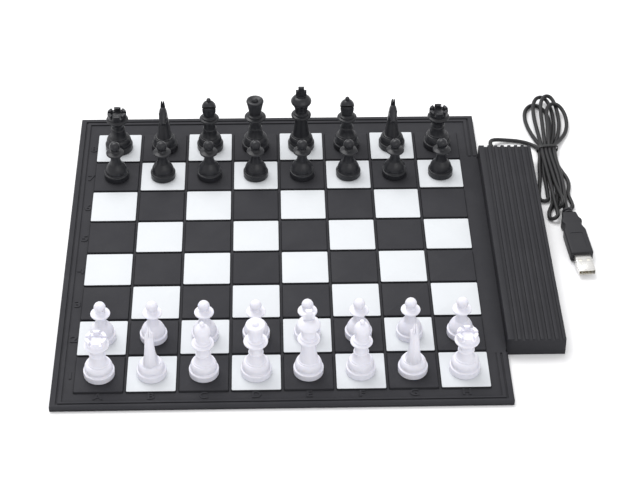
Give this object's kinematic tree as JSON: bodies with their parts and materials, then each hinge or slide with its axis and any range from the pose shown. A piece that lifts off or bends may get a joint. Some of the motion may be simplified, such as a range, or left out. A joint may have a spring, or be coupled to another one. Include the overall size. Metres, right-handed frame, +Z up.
{
  "type": "electronic chess computer",
  "caption": "Roll-up silicone chess board with pressing squares, a ribbed control case along one edge, a tied USB lead and a full set of chessmen.",
  "frame": {"origin": "on the underside of the board, below the centre of the eight by eight squares", "axes": "+X from file a to file h and on to the control case, +Y from rank 1 to rank 8, +Z up out of the board"},
  "size_m": [0.3846, 0.3364, 0.0608],
  "materials": {
    "black_silicone": "matte moulded",
    "white_silicone": "satin",
    "contact_film": "matte film",
    "case_plastic": "fine spark-eroded texture",
    "screw_steel": "zinc plated",
    "circuit_laminate": "solder mask",
    "cable_rubber": "satin jacket",
    "grip_plastic": "satin moulded",
    "plug_metal": "nickel plated",
    "white_men_plastic": "satin moulded",
    "black_men_plastic": "satin moulded"
  },
  "bodies": {
    "board": {"board_base_skin": "black_silicone", "board_top_skin": "black_silicone", "switch_membrane": "contact_film", "case_top": "case_plastic", "case_bottom": "case_plastic", "case_screws": "screw_steel", "circuit_board": "circuit_laminate", "cable_boot": "cable_rubber", "usb_lead": "cable_rubber", "usb_lead_hank": "cable_rubber", "plug_grip": "grip_plastic", "plug_shell": "plug_metal"},
    "rank_1": {"rank_1_pads": "black_silicone", "rank_1_light_tops": "white_silicone"},
    "rank_2": {"rank_2_pads": "black_silicone", "rank_2_light_tops": "white_silicone"},
    "rank_3": {"rank_3_pads": "black_silicone", "rank_3_light_tops": "white_silicone"},
    "rank_4": {"rank_4_pads": "black_silicone", "rank_4_light_tops": "white_silicone"},
    "rank_5": {"rank_5_pads": "black_silicone", "rank_5_light_tops": "white_silicone"},
    "rank_6": {"rank_6_pads": "black_silicone", "rank_6_light_tops": "white_silicone"},
    "rank_7": {"rank_7_pads": "black_silicone", "rank_7_light_tops": "white_silicone"},
    "rank_8": {"rank_8_pads": "black_silicone", "rank_8_light_tops": "white_silicone"},
    "white_rook_a1_man": {"white_rook_a1": "white_men_plastic"},
    "white_pawn_a2_man": {"white_pawn_a2": "white_men_plastic"},
    "white_knight_b1_man": {"white_knight_b1": "white_men_plastic"},
    "white_pawn_b2_man": {"white_pawn_b2": "white_men_plastic"},
    "white_bishop_c1_man": {"white_bishop_c1": "white_men_plastic"},
    "white_pawn_c2_man": {"white_pawn_c2": "white_men_plastic"},
    "white_queen_d1_man": {"white_queen_d1": "white_men_plastic"},
    "white_pawn_d2_man": {"white_pawn_d2": "white_men_plastic"},
    "white_king_e1_man": {"white_king_e1": "white_men_plastic"},
    "white_pawn_e2_man": {"white_pawn_e2": "white_men_plastic"},
    "white_bishop_f1_man": {"white_bishop_f1": "white_men_plastic"},
    "white_pawn_f2_man": {"white_pawn_f2": "white_men_plastic"},
    "white_knight_g1_man": {"white_knight_g1": "white_men_plastic"},
    "white_pawn_g2_man": {"white_pawn_g2": "white_men_plastic"},
    "white_rook_h1_man": {"white_rook_h1": "white_men_plastic"},
    "white_pawn_h2_man": {"white_pawn_h2": "white_men_plastic"},
    "black_rook_a8_man": {"black_rook_a8": "black_men_plastic"},
    "black_pawn_a7_man": {"black_pawn_a7": "black_men_plastic"},
    "black_knight_b8_man": {"black_knight_b8": "black_men_plastic"},
    "black_pawn_b7_man": {"black_pawn_b7": "black_men_plastic"},
    "black_bishop_c8_man": {"black_bishop_c8": "black_men_plastic"},
    "black_pawn_c7_man": {"black_pawn_c7": "black_men_plastic"},
    "black_queen_d8_man": {"black_queen_d8": "black_men_plastic"},
    "black_pawn_d7_man": {"black_pawn_d7": "black_men_plastic"},
    "black_king_e8_man": {"black_king_e8": "black_men_plastic"},
    "black_pawn_e7_man": {"black_pawn_e7": "black_men_plastic"},
    "black_bishop_f8_man": {"black_bishop_f8": "black_men_plastic"},
    "black_pawn_f7_man": {"black_pawn_f7": "black_men_plastic"},
    "black_knight_g8_man": {"black_knight_g8": "black_men_plastic"},
    "black_pawn_g7_man": {"black_pawn_g7": "black_men_plastic"},
    "black_rook_h8_man": {"black_rook_h8": "black_men_plastic"},
    "black_pawn_h7_man": {"black_pawn_h7": "black_men_plastic"}
  },
  "joints": [
    {"name": "rank_1_press", "type": "slide", "parent": "board", "child": "rank_1", "axis": [0, 0, -1], "range_m": [0, 0.0006], "stiffness_N_per_m": 2000, "springref_m": -0.002},
    {"name": "rank_2_press", "type": "slide", "parent": "board", "child": "rank_2", "axis": [0, 0, -1], "range_m": [0, 0.0006], "stiffness_N_per_m": 2000, "springref_m": -0.002},
    {"name": "rank_3_press", "type": "slide", "parent": "board", "child": "rank_3", "axis": [0, 0, -1], "range_m": [0, 0.0006], "stiffness_N_per_m": 2000, "springref_m": -0.002},
    {"name": "rank_4_press", "type": "slide", "parent": "board", "child": "rank_4", "axis": [0, 0, -1], "range_m": [0, 0.0006], "stiffness_N_per_m": 2000, "springref_m": -0.002},
    {"name": "rank_5_press", "type": "slide", "parent": "board", "child": "rank_5", "axis": [0, 0, -1], "range_m": [0, 0.0006], "stiffness_N_per_m": 2000, "springref_m": -0.002},
    {"name": "rank_6_press", "type": "slide", "parent": "board", "child": "rank_6", "axis": [0, 0, -1], "range_m": [0, 0.0006], "stiffness_N_per_m": 2000, "springref_m": -0.002},
    {"name": "rank_7_press", "type": "slide", "parent": "board", "child": "rank_7", "axis": [0, 0, -1], "range_m": [0, 0.0006], "stiffness_N_per_m": 2000, "springref_m": -0.002},
    {"name": "rank_8_press", "type": "slide", "parent": "board", "child": "rank_8", "axis": [0, 0, -1], "range_m": [0, 0.0006], "stiffness_N_per_m": 2000, "springref_m": -0.002},
    {"name": "white_rook_a1_lift", "type": "slide", "parent": "rank_1", "child": "white_rook_a1_man", "axis": [0, 0, 1], "range_m": [0, 0.08]},
    {"name": "white_pawn_a2_lift", "type": "slide", "parent": "rank_2", "child": "white_pawn_a2_man", "axis": [0, 0, 1], "range_m": [0, 0.08]},
    {"name": "white_knight_b1_lift", "type": "slide", "parent": "rank_1", "child": "white_knight_b1_man", "axis": [0, 0, 1], "range_m": [0, 0.08]},
    {"name": "white_pawn_b2_lift", "type": "slide", "parent": "rank_2", "child": "white_pawn_b2_man", "axis": [0, 0, 1], "range_m": [0, 0.08]},
    {"name": "white_bishop_c1_lift", "type": "slide", "parent": "rank_1", "child": "white_bishop_c1_man", "axis": [0, 0, 1], "range_m": [0, 0.08]},
    {"name": "white_pawn_c2_lift", "type": "slide", "parent": "rank_2", "child": "white_pawn_c2_man", "axis": [0, 0, 1], "range_m": [0, 0.08]},
    {"name": "white_queen_d1_lift", "type": "slide", "parent": "rank_1", "child": "white_queen_d1_man", "axis": [0, 0, 1], "range_m": [0, 0.08]},
    {"name": "white_pawn_d2_lift", "type": "slide", "parent": "rank_2", "child": "white_pawn_d2_man", "axis": [0, 0, 1], "range_m": [0, 0.08]},
    {"name": "white_king_e1_lift", "type": "slide", "parent": "rank_1", "child": "white_king_e1_man", "axis": [0, 0, 1], "range_m": [0, 0.08]},
    {"name": "white_pawn_e2_lift", "type": "slide", "parent": "rank_2", "child": "white_pawn_e2_man", "axis": [0, 0, 1], "range_m": [0, 0.08]},
    {"name": "white_bishop_f1_lift", "type": "slide", "parent": "rank_1", "child": "white_bishop_f1_man", "axis": [0, 0, 1], "range_m": [0, 0.08]},
    {"name": "white_pawn_f2_lift", "type": "slide", "parent": "rank_2", "child": "white_pawn_f2_man", "axis": [0, 0, 1], "range_m": [0, 0.08]},
    {"name": "white_knight_g1_lift", "type": "slide", "parent": "rank_1", "child": "white_knight_g1_man", "axis": [0, 0, 1], "range_m": [0, 0.08]},
    {"name": "white_pawn_g2_lift", "type": "slide", "parent": "rank_2", "child": "white_pawn_g2_man", "axis": [0, 0, 1], "range_m": [0, 0.08]},
    {"name": "white_rook_h1_lift", "type": "slide", "parent": "rank_1", "child": "white_rook_h1_man", "axis": [0, 0, 1], "range_m": [0, 0.08]},
    {"name": "white_pawn_h2_lift", "type": "slide", "parent": "rank_2", "child": "white_pawn_h2_man", "axis": [0, 0, 1], "range_m": [0, 0.08]},
    {"name": "black_rook_a8_lift", "type": "slide", "parent": "rank_8", "child": "black_rook_a8_man", "axis": [0, 0, 1], "range_m": [0, 0.08]},
    {"name": "black_pawn_a7_lift", "type": "slide", "parent": "rank_7", "child": "black_pawn_a7_man", "axis": [0, 0, 1], "range_m": [0, 0.08]},
    {"name": "black_knight_b8_lift", "type": "slide", "parent": "rank_8", "child": "black_knight_b8_man", "axis": [0, 0, 1], "range_m": [0, 0.08]},
    {"name": "black_pawn_b7_lift", "type": "slide", "parent": "rank_7", "child": "black_pawn_b7_man", "axis": [0, 0, 1], "range_m": [0, 0.08]},
    {"name": "black_bishop_c8_lift", "type": "slide", "parent": "rank_8", "child": "black_bishop_c8_man", "axis": [0, 0, 1], "range_m": [0, 0.08]},
    {"name": "black_pawn_c7_lift", "type": "slide", "parent": "rank_7", "child": "black_pawn_c7_man", "axis": [0, 0, 1], "range_m": [0, 0.08]},
    {"name": "black_queen_d8_lift", "type": "slide", "parent": "rank_8", "child": "black_queen_d8_man", "axis": [0, 0, 1], "range_m": [0, 0.08]},
    {"name": "black_pawn_d7_lift", "type": "slide", "parent": "rank_7", "child": "black_pawn_d7_man", "axis": [0, 0, 1], "range_m": [0, 0.08]},
    {"name": "black_king_e8_lift", "type": "slide", "parent": "rank_8", "child": "black_king_e8_man", "axis": [0, 0, 1], "range_m": [0, 0.08]},
    {"name": "black_pawn_e7_lift", "type": "slide", "parent": "rank_7", "child": "black_pawn_e7_man", "axis": [0, 0, 1], "range_m": [0, 0.08]},
    {"name": "black_bishop_f8_lift", "type": "slide", "parent": "rank_8", "child": "black_bishop_f8_man", "axis": [0, 0, 1], "range_m": [0, 0.08]},
    {"name": "black_pawn_f7_lift", "type": "slide", "parent": "rank_7", "child": "black_pawn_f7_man", "axis": [0, 0, 1], "range_m": [0, 0.08]},
    {"name": "black_knight_g8_lift", "type": "slide", "parent": "rank_8", "child": "black_knight_g8_man", "axis": [0, 0, 1], "range_m": [0, 0.08]},
    {"name": "black_pawn_g7_lift", "type": "slide", "parent": "rank_7", "child": "black_pawn_g7_man", "axis": [0, 0, 1], "range_m": [0, 0.08]},
    {"name": "black_rook_h8_lift", "type": "slide", "parent": "rank_8", "child": "black_rook_h8_man", "axis": [0, 0, 1], "range_m": [0, 0.08]},
    {"name": "black_pawn_h7_lift", "type": "slide", "parent": "rank_7", "child": "black_pawn_h7_man", "axis": [0, 0, 1], "range_m": [0, 0.08]}
  ]
}
